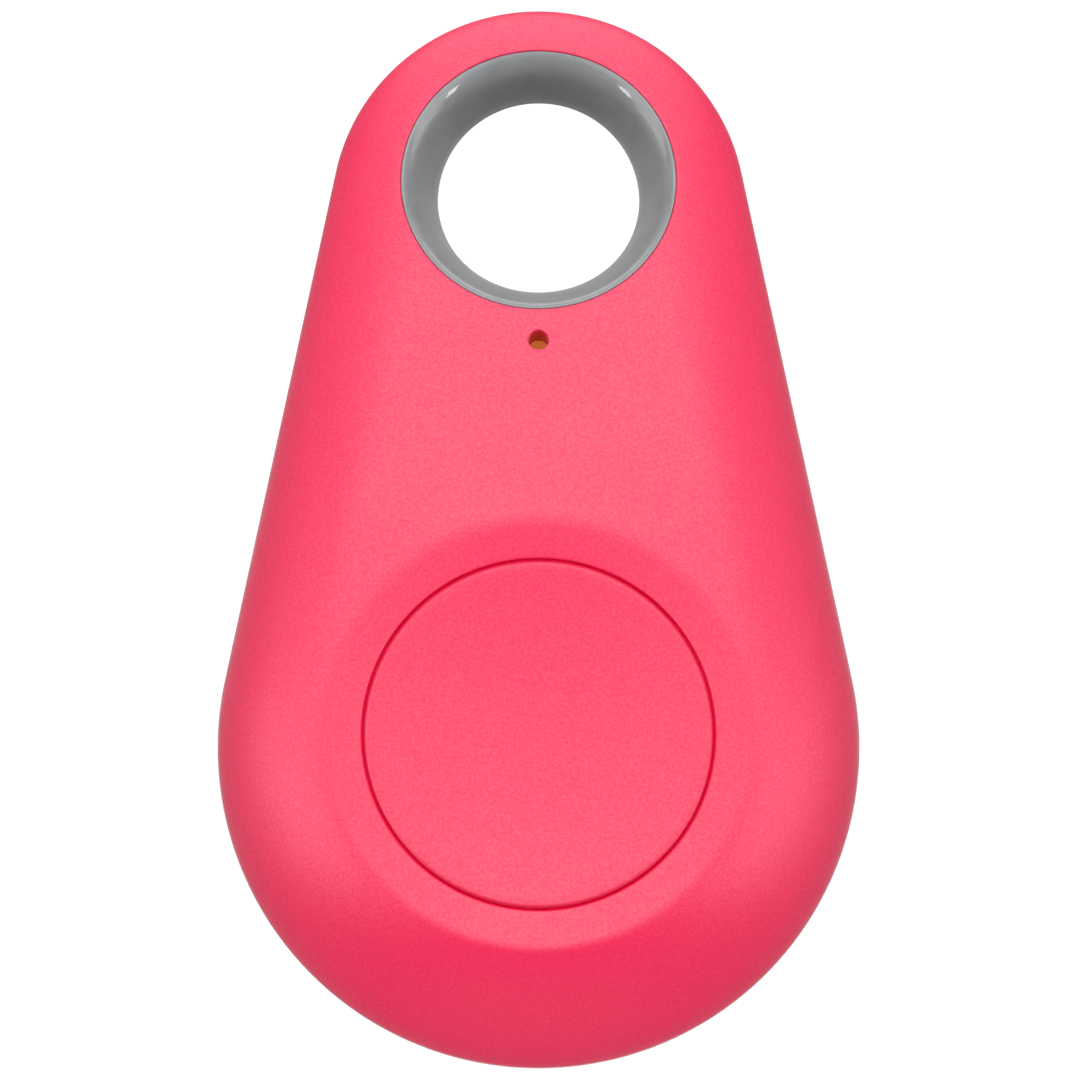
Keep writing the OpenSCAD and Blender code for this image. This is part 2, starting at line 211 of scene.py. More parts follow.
def front_roof(x, y):
    height = TOP_Z - SEAM_Z - WALL - np.maximum(front_fall(x, y), 0)
    return SEAM_Z + height * rolled(inset(x, y), WALL)


def rear_face(x, y):
    height = SEAM_Z - SEAM_CHAMFER - rear_fall(y)
    return SEAM_Z - SEAM_CHAMFER - height * rolled(inset(x, y))


def rear_floor(x, y):
    height = SEAM_Z - WALL - rear_fall(y)
    return SEAM_Z - height * rolled(inset(x, y), WALL)


# ---------------------------------------------------------------- mesh tools


def outline_loop(d, count):
    """The outline drawn in by d. Points of different loops face each other across the gap."""
    big_arc = BIG_R * (math.pi / 2 + FLANK)
    small_arc = SMALL_R * (math.pi / 2 - FLANK)
    half = big_arc + FLANK_LEN + small_arc
    loop = []
    for i in range(count):
        s = 2 * half * i / count
        side = 1 if s <= half else -1
        s = min(s, 2 * half - s)
        if s < big_arc:
            a = -math.pi / 2 + s / BIG_R
            x, y = (BIG_R - d) * math.cos(a), BIG_Y + (BIG_R - d) * math.sin(a)
        elif s < big_arc + FLANK_LEN:
            t = s - big_arc
            x = (BIG_R - d) * math.cos(FLANK) - t * math.sin(FLANK)
            y = BIG_Y + (BIG_R - d) * math.sin(FLANK) + t * math.cos(FLANK)
        else:
            a = FLANK + (s - big_arc - FLANK_LEN) / SMALL_R
            x, y = (SMALL_R - d) * math.cos(a), SMALL_Y + (SMALL_R - d) * math.sin(a)
        loop.append((side * x, y))
    return np.array(loop)


def circle_loop(y, r, count):
    a = np.linspace(0, 2 * math.pi, count, endpoint=False)
    return np.column_stack([r * np.cos(a), y + r * np.sin(a)])


class Sheet:
    """A curved face over a flat net of points, with its border loops kept for stitching."""

    def __init__(self, depth, holes):
        self.depth = depth
        self.holes = holes
        self.points = []
        self.loops = {}
        self.cells = {}

    def clear_of(self, p, gap):
        i, j = int(p[0] // gap), int(p[1] // gap)
        around = [(i + a, j + b) for a in (-1, 0, 1) for b in (-1, 0, 1)]
        near = [q for cell in around for q in self.cells.get(cell, ())]
        return all((p[0] - q[0]) ** 2 + (p[1] - q[1]) ** 2 > gap**2 for q in near)

    def wanted(self, p, margin):
        if inset(p[0], p[1]) < self.depth + margin:
            return False
        return all(math.hypot(p[0], p[1] - h["y"]) > h["r"] + margin for h in self.holes)

    def border(self, name, loop):
        self.loops[name] = list(range(len(self.points), len(self.points) + len(loop)))
        self.points.extend(map(tuple, loop))

    def fill(self, points, gap):
        """Adds the points inside the sheet that are further than gap from those already there."""
        self.cells = {}
        for q in self.points:
            self.cells.setdefault((int(q[0] // gap), int(q[1] // gap)), []).append(q)
        for p in map(tuple, points):
            if self.wanted(p, 1e-6) and self.clear_of(p, gap):
                self.points.append(p)
                self.cells.setdefault((int(p[0] // gap), int(p[1] // gap)), []).append(p)

    def triangles(self):
        """The net as triangles, without those in a hole and the slivers along the outline."""
        edges = [(loop[i - 1], loop[i]) for loop in self.loops.values() for i in range(len(loop))]
        out = delaunay_2d_cdt([tuple(map(float, p)) for p in self.points], edges, [], 0, 1e-9)
        first = [ids[0] for ids in out[3]]
        kept = []
        for f in out[2]:
            tri = [first[v] for v in f]
            middle = np.mean([self.points[v] for v in tri], axis=0)
            in_hole = any(
                math.hypot(middle[0], middle[1] - h["y"]) < h["r"] * INSIDE_HOLE for h in self.holes
            )
            if not in_hole and inset(*middle) > self.depth + SLIVER:
                kept.append(tri)
        return kept


def face_sheet(depth, holes, roll_rings, spacing, fillets=False, ridge=False):
    """A net for one face of a shell: fine where it is strongly curved, even elsewhere."""
    sheet = Sheet(depth, holes)
    sheet.border("outline", outline_loop(depth, OUTLINE_POINTS))
    for h in holes:
        sheet.border(h["name"], circle_loop(h["y"], h["r"], h["count"]))
    if fillets:
        for h in holes:
            for k in range(1, FILLET_RINGS + 1):
                r = h["r"] + h["edge"] * (1 - math.cos(math.pi / 2 * k / FILLET_RINGS))
                sheet.fill(circle_loop(h["y"], r, h["count"]), h["edge"] * 0.02)
    if ridge:
        for offset in np.linspace(-RIDGE_BAND, RIDGE_BAND, RIDGE_RINGS):
            sheet.fill(circle_loop(BIG_Y, DISH_R + offset, RIDGE_POINTS), 0.04)
    for k in range(1, roll_rings + 1):
        d = depth + (ROLL - depth) * (1 - math.cos(math.pi / 2 * k / roll_rings))
        sheet.fill(outline_loop(d, OUTLINE_POINTS), min(0.012 * k, spacing * 0.4))
    for h in holes:
        for k in range(1, HOLE_RINGS + 1):
            r = h["r"] + h["edge"] + k * spacing * 0.8
            sheet.fill(circle_loop(h["y"], r, h["count"]), spacing * 0.5)
    rows = int(front_high[1] * 2 / (spacing * ROW_PITCH)) + 1
    for j in range(rows):
        y = front_low[1] + j * spacing * ROW_PITCH
        xs = np.arange(-BIG_R, BIG_R, spacing) + (j % 2) * spacing / 2
        sheet.fill([(x, y) for x in xs], spacing * 0.55)
    return sheet


def bridge(a, b):
    """Quads between two closed rings of the same number of points."""
    return [(a[i - 1], a[i], b[i], b[i - 1]) for i in range(len(a))]


def lofted(rings, close=True):
    """Vertices and faces of rings joined in order, and the last back to the first if closed."""
    count = len(rings[0])
    verts = [tuple(p) for ring in rings for p in ring]
    spans = len(rings) if close else len(rings) - 1
    faces = []
    for k in range(spans):
        a, b = k * count, (k + 1) % len(rings) * count
        faces += [(a + i, a + (i + 1) % count, b + (i + 1) % count, b + i) for i in range(count)]
    return verts, faces


def ring_at(x, y, r, z, count):
    """A level circle of points, or one whose height z changes from point to point."""
    a = np.linspace(0, 2 * math.pi, count, endpoint=False)
    return np.column_stack([x + r * np.cos(a), y + r * np.sin(a), z + np.zeros(count)])


def turned(profile, x, y, count=192):
    """A turned solid about a line along Z: the profile's radii and heights, from axis to axis."""
    rings = [ring_at(x, y, r, z, count) for r, z in profile[1:-1]]
    verts, faces = lofted(rings, close=False)
    top, base = len(verts), len(verts) + 1
    verts += [(x, y, profile[0][1]), (x, y, profile[-1][1])]
    last = (len(rings) - 1) * count
    faces += [(top, (i + 1) % count, i) for i in range(count)]
    faces += [(base, last + i, last + (i + 1) % count) for i in range(count)]
    return verts, faces


def tube(x, y, r_out, r_in, low, high, count=128):
    """A tube. Each end has a height for the outer wall and one for the inner, level or not."""
    (low_out, low_in), (high_out, high_in) = low, high
    return lofted([
        ring_at(x, y, r_out, low_out, count), ring_at(x, y, r_out, high_out, count),
        ring_at(x, y, r_in, high_in, count), ring_at(x, y, r_in, low_in, count),
    ])


def arc(centre, radius, start, end, steps=6):
    """Points of an arc in a profile, angles in degrees."""
    return [
        (
            centre[0] + radius * math.cos(math.radians(start + (end - start) * i / steps)),
            centre[1] + radius * math.sin(math.radians(start + (end - start) * i / steps)),
        )
        for i in range(steps + 1)
    ]


def block(x, y, width, length, low, high):
    """A box's vertices and faces."""
    xs, ys, zs = (x - width / 2, x + width / 2), (y - length / 2, y + length / 2), (low, high)
    verts = [(a, b, c) for c in zs for b in ys for a in xs]
    faces = [(0, 2, 3, 1), (4, 5, 7, 6), (0, 1, 5, 4), (1, 3, 7, 5), (3, 2, 6, 7), (2, 0, 4, 6)]
    return verts, faces


def joined(*parts):
    """Several meshes as one."""
    verts, faces = [], []
    for v, f in parts:
        faces += [tuple(i + len(verts) for i in face) for face in f]
        verts += list(v)
    return verts, faces


def in_gap(spot):
    """Whether a face's middle lies on a wall of the narrow gap round the button."""
    r = math.hypot(spot.x / MM, spot.y / MM - BIG_Y)
    slack = 0.004
    outer_slack = 0.001
    on_wall = BUTTON_R - slack < r < BUTTON_R + BUTTON_GAP + outer_slack
    return on_wall and spot.z / MM > BUTTON_SKIN_Z


def round_edges(obj, width):
    """Rounds an object's sharp edges by a width in millimetres."""
    rounding = obj.modifiers.new("edges", "BEVEL")
    rounding.width = width * MM
    rounding.segments = 3
    rounding.limit_method = "ANGLE"
    return rounding


def piece(name, part, material, body, replaced=(), bevel=0.0, bare=None):
    """Makes a mesh in millimetres into a shown piece that rides on a body.

    bare is the material of the walls of the button's gap, where the piece has any.
    """
    mesh = bpy.data.meshes.new(name)
    mesh.from_pydata([(x * MM, y * MM, z * MM) for x, y, z in part[0]], [], part[1])
    bm = bmesh.new()
    bm.from_mesh(mesh)
    bmesh.ops.recalc_face_normals(bm, faces=bm.faces)
    bm.to_mesh(mesh)
    bm.free()
    mesh.shade_smooth()
    mesh.set_sharp_from_angle(angle=math.radians(35))
    obj = bpy.data.objects.new(name, mesh)
    bpy.context.scene.collection.objects.link(obj)
    mesh.materials.append(material)
    if bare:
        mesh.materials.append(bare)
        for face in mesh.polygons:
            face.material_index = int(in_gap(face.center))
    if bevel:
        round_edges(obj, bevel).harden_normals = True
    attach(obj, body)
    if replaced:
        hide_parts(*replaced)


# ---------------------------------------------------------------- materials


def nodes_of(material):
    return material.node_tree.nodes, material.node_tree.links


def new_material(name, **settings):
    material = bpy.data.materials.new(name)
    material.use_nodes = True
    shader = material.node_tree.nodes["Principled BSDF"]
    for key, value in settings.items():
        shader.inputs[key.replace("_", " ")].default_value = value
    return material, shader


def noise(material, scale, detail=3.0, stretch=None):
    """A noise over the piece's own coordinates, its scale in features per metre."""
    nodes, links = nodes_of(material)
    place = nodes.new("ShaderNodeTexCoord")
    texture = nodes.new("ShaderNodeTexNoise")
    texture.inputs["Scale"].default_value = scale
    texture.inputs["Detail"].default_value = detail
    source = place.outputs["Object"]
    if stretch:
        mapping = nodes.new("ShaderNodeMapping")
        mapping.inputs["Scale"].default_value = stretch
        links.new(source, mapping.inputs["Vector"])
        source = mapping.outputs["Vector"]
    links.new(source, texture.inputs["Vector"])
    return texture.outputs["Fac"]


def ramp(material, value, stops):
    """A value turned into a colour or a grey level; each stop is a place and what it gives."""
    nodes, links = nodes_of(material)
    node = nodes.new("ShaderNodeValToRGB")
    while len(node.color_ramp.elements) < len(stops):
        node.color_ramp.elements.new(0.5)
    for element, (place, colour) in zip(node.color_ramp.elements, stops):
        element.position = place
        rgb = colour if isinstance(colour, tuple) else (colour, colour, colour)
        element.color = (*rgb, 1)
    links.new(value, node.inputs["Fac"])
    return node.outputs["Color"]


def bumps(material, shader, heights):
    """Adds bumps in a row: each is a height value and its depth in metres."""
    nodes, links = nodes_of(material)
    normal = None
    for value, depth in heights:
        bump = nodes.new("ShaderNodeBump")
        bump.inputs["Distance"].default_value = depth
        links.new(value, bump.inputs["Height"])
        if normal:
            links.new(normal, bump.inputs["Normal"])
        normal = bump.outputs["Normal"]
    links.new(normal, shader.inputs["Normal"])


def tone(colour, factor):
    return tuple(min(c * factor, 1.0) for c in colour)


def soft_touch(name, colour, coated=True):
    """Pigmented plastic with a fine grain and uneven gloss, with a soft-touch coat or bare."""
    material, shader = new_material(name, Roughness=0.5, IOR=1.6)
    links = material.node_tree.links
    grain = noise(material, 9000, 2)
    cloud = noise(material, 260, 4)
    colour_map = ramp(material, grain, [(0.3, tone(colour, 0.93)), (0.7, tone(colour, 1.05))])
    links.new(colour_map, shader.inputs["Base Color"])
    links.new(ramp(material, cloud, [(0.3, 0.48), (0.7, 0.52)]), shader.inputs["Roughness"])
    if coated:
        shader.inputs["Sheen Weight"].default_value = 0.8
        shader.inputs["Sheen Roughness"].default_value = 0.2
        speckle = ramp(material, noise(material, 7500, 1), [(0.35, 0.4), (0.65, 0.6)])
        links.new(speckle, shader.inputs["Specular IOR Level"])
    else:
        shader.inputs["Specular IOR Level"].default_value = 0.0
    bumps(material, shader, [(noise(material, 5200, 3), 0.000008)])
    return material


def moulded(name, colour, roughness=0.4, grain=0.000006, gloss=1.45):
    """Plain moulded plastic: fine spark-eroded texture and slightly uneven gloss."""
    material, shader = new_material(name, Roughness=roughness, IOR=gloss)
    links = material.node_tree.links
    patches = noise(material, 900, 4)
    mottled = ramp(material, patches, [(0.3, tone(colour, 0.92)), (0.7, tone(colour, 1.06))])
    links.new(mottled, shader.inputs["Base Color"])
    gloss_patches = noise(material, 420, 3)
    spread = ramp(material, gloss_patches, [(0.3, roughness - 0.05), (0.7, roughness + 0.06)])
    links.new(spread, shader.inputs["Roughness"])
    bumps(material, shader, [(noise(material, 6500, 3), grain)])
    return material


def metal(name, colour, roughness=0.3, stretch=(1, 30, 1), scale=900, depth=0.000004):
    """Rolled or plated metal with fine drawn lines and duller patches."""
    material, shader = new_material(name, Metallic=1.0)
    links = material.node_tree.links
    lines = noise(material, scale, 4, stretch)
    dull = noise(material, 500, 4)
    patchy = ramp(material, dull, [(0.3, tone(colour, 0.88)), (0.7, colour)])
    links.new(patchy, shader.inputs["Base Color"])
    drawn = ramp(material, lines, [(0.3, roughness - 0.08), (0.75, roughness + 0.12)])
    links.new(drawn, shader.inputs["Roughness"])
    bumps(material, shader, [(lines, depth)])
    return material


PINK = (0.92, 0.011, 0.092)
pink_case = soft_touch("pink_case", PINK)
pink_button = soft_touch("pink_button", PINK)
pink_bare = soft_touch("pink_bare", PINK, coated=False)
grey_liner = moulded("grey_liner", (0.275, 0.283, 0.291), 0.45)
polish = grey_liner.node_tree.nodes["Principled BSDF"]
polish.inputs["Specular IOR Level"].default_value = 0.3
polish.inputs["Coat Weight"].default_value = 0.5
polish.inputs["Coat Roughness"].default_value = 0.08
board_green = moulded("board_green", (0.02, 0.16, 0.07), 0.3)
switch_black = moulded("switch_black", (0.025, 0.025, 0.03), 0.5)
switch_ivory = moulded("switch_ivory", (0.7, 0.66, 0.52), 0.4)
spring_steel = metal("spring_steel", (0.62, 0.62, 0.64), 0.28)
tinned_steel = metal("tinned_steel", (0.72, 0.72, 0.72), 0.32)
chip_black = moulded("chip_black", (0.018, 0.018, 0.02), 0.55)
crystal_can = metal("crystal_can", (0.7, 0.7, 0.72), 0.25)
antenna_white = moulded("antenna_white", (0.78, 0.78, 0.75), 0.5)
capacitor_tan = moulded("capacitor_tan", (0.36, 0.22, 0.11), 0.45)
led_white = moulded("led_white", (0.8, 0.78, 0.72), 0.4)
led_amber = moulded("led_amber", (0.85, 0.36, 0.1), 0.25)
# The lens gets a weak painted glow: emitted colour that brightens it in the shade at the bottom of
# its hole.
lens_painted_glow = led_amber.node_tree.nodes["Principled BSDF"]
lens_painted_glow.inputs["Emission Color"].default_value = (0.85, 0.3, 0.08, 1)
lens_painted_glow.inputs["Emission Strength"].default_value = 0.35
magnet_grey = moulded("magnet_grey", (0.12, 0.12, 0.125), 0.5)
coil_copper = metal("coil_copper", (0.75, 0.28, 0.1), 0.35, (1, 1, 40))
contact_gold = metal("contact_gold", (0.95, 0.66, 0.25), 0.25)
cell_steel = metal("cell_steel", (0.74, 0.74, 0.75), 0.26)
cell_seal = moulded("cell_seal", (0.03, 0.03, 0.035), 0.5)
cell_pellet = moulded("cell_pellet", (0.03, 0.03, 0.03), 0.8, 0.00002)
cell_paper = moulded("cell_paper", (0.8, 0.8, 0.78), 0.8)
cell_lithium = moulded("cell_lithium", (0.55, 0.55, 0.56), 0.45)

NODE_MATERIALS = {
    "circuit_board": board_green, "buzzer_base": board_green,
    "switch_base": switch_black, "switch_plunger": switch_ivory,
    "switch_dome": spring_steel, "buzzer_diaphragm": spring_steel,
    "switch_cover": tinned_steel, "switch_terminals": tinned_steel, "battery_clip": tinned_steel,
    "radio_chip": chip_black, "chip_inductor": chip_black, "buzzer_transistor": chip_black,
    "chip_resistors": chip_black, "buzzer_case": chip_black,
    "main_crystal": crystal_can, "clock_crystal": crystal_can,
    "chip_antenna": antenna_white, "chip_capacitors": capacitor_tan,
    "led_base": led_white, "led_lens": led_amber,
    "buzzer_magnet": magnet_grey, "buzzer_coil": coil_copper, "negative_contact": contact_gold,
    "cell_can": cell_steel, "cell_cap": cell_steel, "cell_gasket": cell_seal,
    "cell_cathode": cell_pellet, "cell_separator": cell_paper, "cell_anode": cell_lithium,
}
for node, material in NODE_MATERIALS.items():
    mesh = frame["nodes"][node].data
    mesh.materials.clear()
    mesh.materials.append(material)

# Square-edged parts get the small rounding that moulded and sawn parts have
ROUNDED = {
    "radio_chip": 0.06, "main_crystal": 0.12, "clock_crystal": 0.12, "chip_antenna": 0.05,
    "chip_inductor": 0.1, "buzzer_transistor": 0.05, "switch_base": 0.08, "buzzer_case": 0.2,
    "led_lens": 0.08,
}
for node, width in ROUNDED.items():
    round_edges(frame["nodes"][node], width)


# ---------------------------------------------------------------- print and solder on the board

# Two-ended chips: middle x and y, length along the terminals, width, height, and whether they lie
# along Y. The radio chip: middle x and y, and its side.
RESISTORS = [(x, -17.2, 1, 0.5, 0.35, False) for x in (-6.2, -4.2, 4.4, 6.4)]
RESISTORS += [(7.6, y, 1, 0.5, 0.35, True) for y in (-8.6, -10.2, -11.8)]
RESISTORS += [(x, 7.4, 1, 0.5, 0.35, False) for x in (-1.8, 1.8)]
CAPACITORS = [(x, -6.6, 1, 0.5, 0.5, True) for x in (-7.4, -5.6, -3.8)]
CAPACITORS += [(-9.6, y, 1, 0.5, 0.5, False) for y in (-4.2, -2.6)]
CAPACITORS += [(x, -4.6, 1.6, 0.8, 0.8, True) for x in (3.6, 5.2)]
CAPACITORS += [(x, 4, 1, 0.5, 0.5, True) for x in (-1.2, 1.2)]
CAPACITORS += [(-7.8, -12, 1.6, 0.8, 0.8, True)]
RADIO = (-5.6, -2.6, 5.0)
RADIO_PAD = (0.26, 0.34)
RADIO_PAD_PITCH = 0.5
SWITCH_FEET = (3.35, 1.6)
PRINT = 0.02


def laid(x, y, along, across, low, high, upright):
    """A block given by its length along a chip and its width across it."""
    return block(x, y, *((across, along) if upright else (along, across)), low, high)


def chip_ends():
    """The plated ends of the two-ended chips, a hair proud of the bodies."""
    parts = []
    for x, y, length, width, height, upright in RESISTORS + CAPACITORS:
        cap = length * 0.24
        for side in (-1, 1):
            shift = side * (length - cap) / 2
            spot = (x, y + shift) if upright else (x + shift, y)
            low, top = BOARD_TOP + 0.005, BOARD_TOP + height + PRINT
            parts.append(laid(*spot, cap + PRINT, width + 2 * PRINT, low, top, upright))
    return joined(*parts)


def solder_pads():
    """Gold pads: beyond each chip's ends, round the radio chip and under the switch's feet."""
    parts = []
    low, high = BOARD_TOP - PRINT, BOARD_TOP + PRINT
    for x, y, length, width, _, upright in RESISTORS + CAPACITORS:
        for side in (-1, 1):
            shift = side * (length / 2 + 0.14)
            spot = (x, y + shift) if upright else (x + shift, y)
            parts.append(laid(*spot, 0.26, width + 0.12, low, high, upright))
    x, y, size = RADIO
    narrow, deep = RADIO_PAD
    for i in range(8):
        step = (i - 3.5) * RADIO_PAD_PITCH
        for side in (-1, 1):
            reach = side * (size / 2 + 0.16)
            parts.append(block(x + step, y + reach, narrow, deep, low, high))
            parts.append(block(x + reach, y + step, deep, narrow, low, high))
    foot_x, foot_y = SWITCH_FEET
    for side in (-1, 1):
        for foot in (-foot_y, foot_y):
            parts.append(block(side * foot_x, BIG_Y + foot, 1.0, 1.0, low, high))
    return joined(*parts)


def print_frames():
    """Printed outlines round the larger parts, as four thin bars each."""
    parts = []
    bar = 0.12
    low, high = BOARD_TOP - PRINT, BOARD_TOP + PRINT / 2
    for node, margin in (("radio_chip", 0.62), ("main_crystal", 0.3), ("clock_crystal", 0.3),
                         ("chip_antenna", 0.3), ("chip_inductor", 0.3), ("switch_base", 1.25)):
        near, far = box_mm(node)
        x, y = (near[0] + far[0]) / 2, (near[1] + far[1]) / 2
        width, length = far[0] - near[0] + 2 * margin, far[1] - near[1] + 2 * margin
        for side in (-1, 1):
            parts.append(block(x, y + side * length / 2, width + bar, bar, low, high))
            parts.append(block(x + side * width / 2, y, bar, length - bar, low, high))
    return joined(*parts)


def marker_dot():
    """The shallow round mark at the first corner of the radio chip."""
    x, y, size = RADIO
    corner = size / 2 - 0.8
    top = box_mm("radio_chip")[1][2]
    face_r, foot_r = 0.3, 0.34
    high, low = top + PRINT, top - PRINT
    profile = [(0, high), (face_r, high), (foot_r, top), (foot_r, low), (0, low)]
    return turned(profile, x - corner, y + corner, 32)


solder = metal("solder", (0.78, 0.78, 0.76), 0.3, (1, 1, 1), 2500, 0.00001)
pad_gold = metal("pad_gold", (0.92, 0.66, 0.27), 0.3, (1, 1, 1), 3000)
print_white = moulded("print_white", (0.75, 0.76, 0.74), 0.6)
piece("chip_end_caps", chip_ends(), solder, "front_case", bevel=0.05)
piece("solder_pads", solder_pads(), pad_gold, "front_case", bevel=0.012)
piece("board_print", print_frames(), print_white, "front_case", bevel=0.01)
piece("radio_chip_mark", marker_dot(), print_white, "front_case")


# ---------------------------------------------------------------- the two shells


def with_height(points, height):
    p = np.array(points, float)
    return np.column_stack([p, height(p[:, 0], p[:, 1])])


def edged(face, holes, up):
    """The face with rounded edges at its holes; up is 1 for the front and -1 for the back."""

    def height(x, y):
        z = face(x, y)
        for h in holes:
            z = z - up * edge_drop(np.hypot(x, y - h["y"]) - h["r"], h["edge"])
        return z

    return height


def shell(face, inner_face, holes, up):
    """A whole shell: outer face, inner face, the walls of its holes and the rim at the seam."""
    outer = face_sheet(0.0, holes, roll_rings=30, spacing=0.42, fillets=True, ridge=up == 1)
    inner_holes = [{**h, "r": h.get("ledge_r", h["r"])} for h in holes]
    inner = face_sheet(WALL, inner_holes, roll_rings=8, spacing=0.9)
    outer_faces, inner_faces = outer.triangles(), inner.triangles()
    verts = list(map(tuple, with_height(outer.points, edged(face, holes, up))))
    first_inner = len(verts)
    verts += list(map(tuple, with_height(inner.points, inner_face)))
    faces = [tuple(f) for f in outer_faces]
    faces += [tuple(v + first_inner for v in f) for f in inner_faces]
    for h in holes:
        rim = outer.loops[h["name"]]
        if "ledge_r" in h:
            z = np.array([verts[v][2] for v in rim]) - up * LEDGE_DROP
            for r in (h["r"], h["ledge_r"]):
                ring = list(range(len(verts), len(verts) + len(rim)))
                verts += list(map(tuple, ring_at(0, h["y"], r, z, h["count"])))
                faces += bridge(rim, ring)
                rim = ring
        faces += bridge(rim, [v + first_inner for v in inner.loops[h["name"]]])
    rim = outer.loops["outline"]
    for turn in (45, 90):
        a = math.radians(turn)
        d = SEAM_CHAMFER * (1 - math.cos(a))
        z = SEAM_Z + up * SEAM_CHAMFER * (1 - math.sin(a))
        ring = list(range(len(verts), len(verts) + len(rim)))
        verts += [(x, y, z) for x, y in outline_loop(d, len(rim))]
        faces += bridge(rim, ring)
        rim = ring
    faces += bridge(rim, [v + first_inner for v in inner.loops["outline"]])
    return verts, faces


def half_width(y, d):
    """Half the width of the outline, drawn in by d, at a place below the ring end."""
    r = BIG_R - d
    u = y - BIG_Y
    on_flank = (r - u * math.sin(FLANK)) / math.cos(FLANK)
    return np.where(u < r * math.sin(FLANK), np.sqrt(np.maximum(r**2 - u**2, 0)), on_flank)


def locating_lip(side):
    """The lip along one flank that drops inside the back shell."""
    rings = [
        [(side * half_width(y, d), y, SEAM_Z + z) for d, z in LIP_SECTION]
        for y in np.linspace(*LIP_ENDS, 60)
    ]
    verts, faces = lofted(rings, close=False)
    corners = len(LIP_SECTION)
    last = len(verts) - corners
    faces += [tuple(range(corners)), tuple(last + i for i in range(corners))]
    return verts, faces


def board_post(x, y, root):
    """A post that the board sits against, with the pin that goes through the board."""
    pin_end = BOARD_LOW + PIN_REACH
    profile = [(0, root), (POST_R, root), (POST_R, BOARD_TOP), (PIN_R, BOARD_TOP)]
    profile += [(PIN_R, pin_end + PIN_TAPER), (PIN_R - PIN_TAPER, pin_end), (0, pin_end)]
    return turned(profile, x, y, 48)


def ring_tube(face, level, bite):
    """The tube round the liner, from the roof or floor of a shell to the liner's flange."""
    count = 128
    ends = []
    for r in (TUBE_R, TUBE_BORE):
        p = ring_at(0, RING_Y, r, 0, count)
        ends.append(face(p[:, 0], p[:, 1]) + bite)
    return tube(0, RING_Y, TUBE_R, TUBE_BORE, (level, level), ends, count)


# Each hole: where it is, the rounding of its edge, and the points round it
ring_hole = {"name": "ring", "y": RING_Y, "r": LINER_R + LINER_GAP, "edge": 0.11, "count": 264}
button_hole = {
    "name": "button", "y": BIG_Y, "r": BUTTON_R + BUTTON_GAP, "edge": 0.08, "count": 324,
    "ledge_r": BUTTON_R + LEDGE_GAP,
}
led_hole = {"name": "led", "y": LED_Y, "r": LED_R, "edge": 0.07, "count": 96}

well_ends = [(z, z) for z in WELL_Z]
piece(
    "front_shell_skin",
    joined(
        shell(front_face, front_roof, [ring_hole, button_hole, led_hole], 1),
        ring_tube(front_roof, FLANGE_Z[1] + TUBE_SEAT_GAP, TUBE_BITE),
        tube(0, LED_Y, WELL_R, WELL_BORE, *well_ends, 48),
        locating_lip(1),
        locating_lip(-1),
        *[board_post(side * x, y, root) for x, y, root in POSTS for side in (1, -1)],
    ),
    pink_case, "front_case", ["front_shell"], bare=pink_bare,
)
piece(
    "rear_shell_skin",
    joined(
        shell(rear_face, rear_floor, [ring_hole], -1),
        ring_tube(rear_floor, FLANGE_Z[0] - TUBE_SEAT_GAP, -TUBE_BITE),
    ),
    pink_case, "rear_case", ["rear_shell"],
)


# ---------------------------------------------------------------- the button


def button():
    """The cap: a hollow face, the flange that holds it in, and the boss that meets the switch."""
    face = [(r, hollow(r, BIG_Y)) for r in np.linspace(0, BUTTON_R - BUTTON_EDGE, 24)]
    rim_z = hollow(BUTTON_R - BUTTON_EDGE, BIG_Y)
    edge = arc((BUTTON_R - BUTTON_EDGE, rim_z - BUTTON_EDGE), BUTTON_EDGE, 84, 0, 8)
    flange_top = BUTTON_SKIN_Z + FLANGE_THICKNESS
    side = [(BUTTON_R, flange_top), (BUTTON_FLANGE, flange_top), (BUTTON_FLANGE, BUTTON_SKIN_Z)]
    boss_z = button_low[2]
    under = [(BOSS_R, BUTTON_SKIN_Z), (BOSS_R, boss_z), (0, boss_z)]
    rib_ends = (BUTTON_SKIN_Z - 0.4, BUTTON_SKIN_Z + 0.1)
    ribs = [block(0, BIG_Y, w, h, *rib_ends) for w, h in (RIB, RIB[::-1])]
    return joined(turned(face + edge + side + under, 0, BIG_Y, 288), *ribs)


piece(
    "button_cap_skin", button(),
    pink_button, "button", ["button_cap"], bare=pink_bare,
)


# ---------------------------------------------------------------- the ring liner


def liner():
    """The liner: at each end a flare between a quarter circle and a cone, and a flange outside."""
    count = 288
    edge_steps, flare_steps = 5, 24
    a = np.linspace(0, 2 * math.pi, count, endpoint=False)
    flare_r = LINER_R - LINER_RIM

    def ring(r, z):
        return ring_at(0, RING_Y, r, z, count)

    def end(face, up, z_land):
        """From the outer wall over the rim and down the flare to the throat."""
        x, y = LINER_R * np.cos(a), RING_Y + LINER_R * np.sin(a)
        z_face = face(x, y) - up * LINER_SET_DOWN
        rings = []
        for k in range(edge_steps + 1):
            u = math.pi / 2 * k / edge_steps
            r = LINER_R - LINER_EDGE * (1 - math.cos(u))
            rings.append(ring(r, z_face - up * LINER_EDGE * (1 - math.sin(u))))
        for k in range(1, flare_steps + 1):
            t = k / flare_steps
            u = math.pi / 2 * t
            inward = (1 - CONE) * math.sin(u) + CONE * t
            down = (1 - CONE) * (1 - math.cos(u)) + CONE * t
            r = flare_r - (flare_r - THROAT_R) * inward
            rings.append(ring(r, z_face - (z_face - z_land) * down))
        return rings

    front = end(front_face, 1, THROAT_LAND[1])
    back = end(rear_face, -1, THROAT_LAND[0])
    low, high = FLANGE_Z
    flange = [ring(LINER_R, low), ring(LINER_FLANGE, low)]
    flange += [ring(LINER_FLANGE, high), ring(LINER_R, high)]
    return lofted(front + back[::-1] + flange)


piece("ring_liner_skin", liner(), grey_liner, "rear_case", ["ring_liner"])


# ---------------------------------------------------------------- stage, light and camera


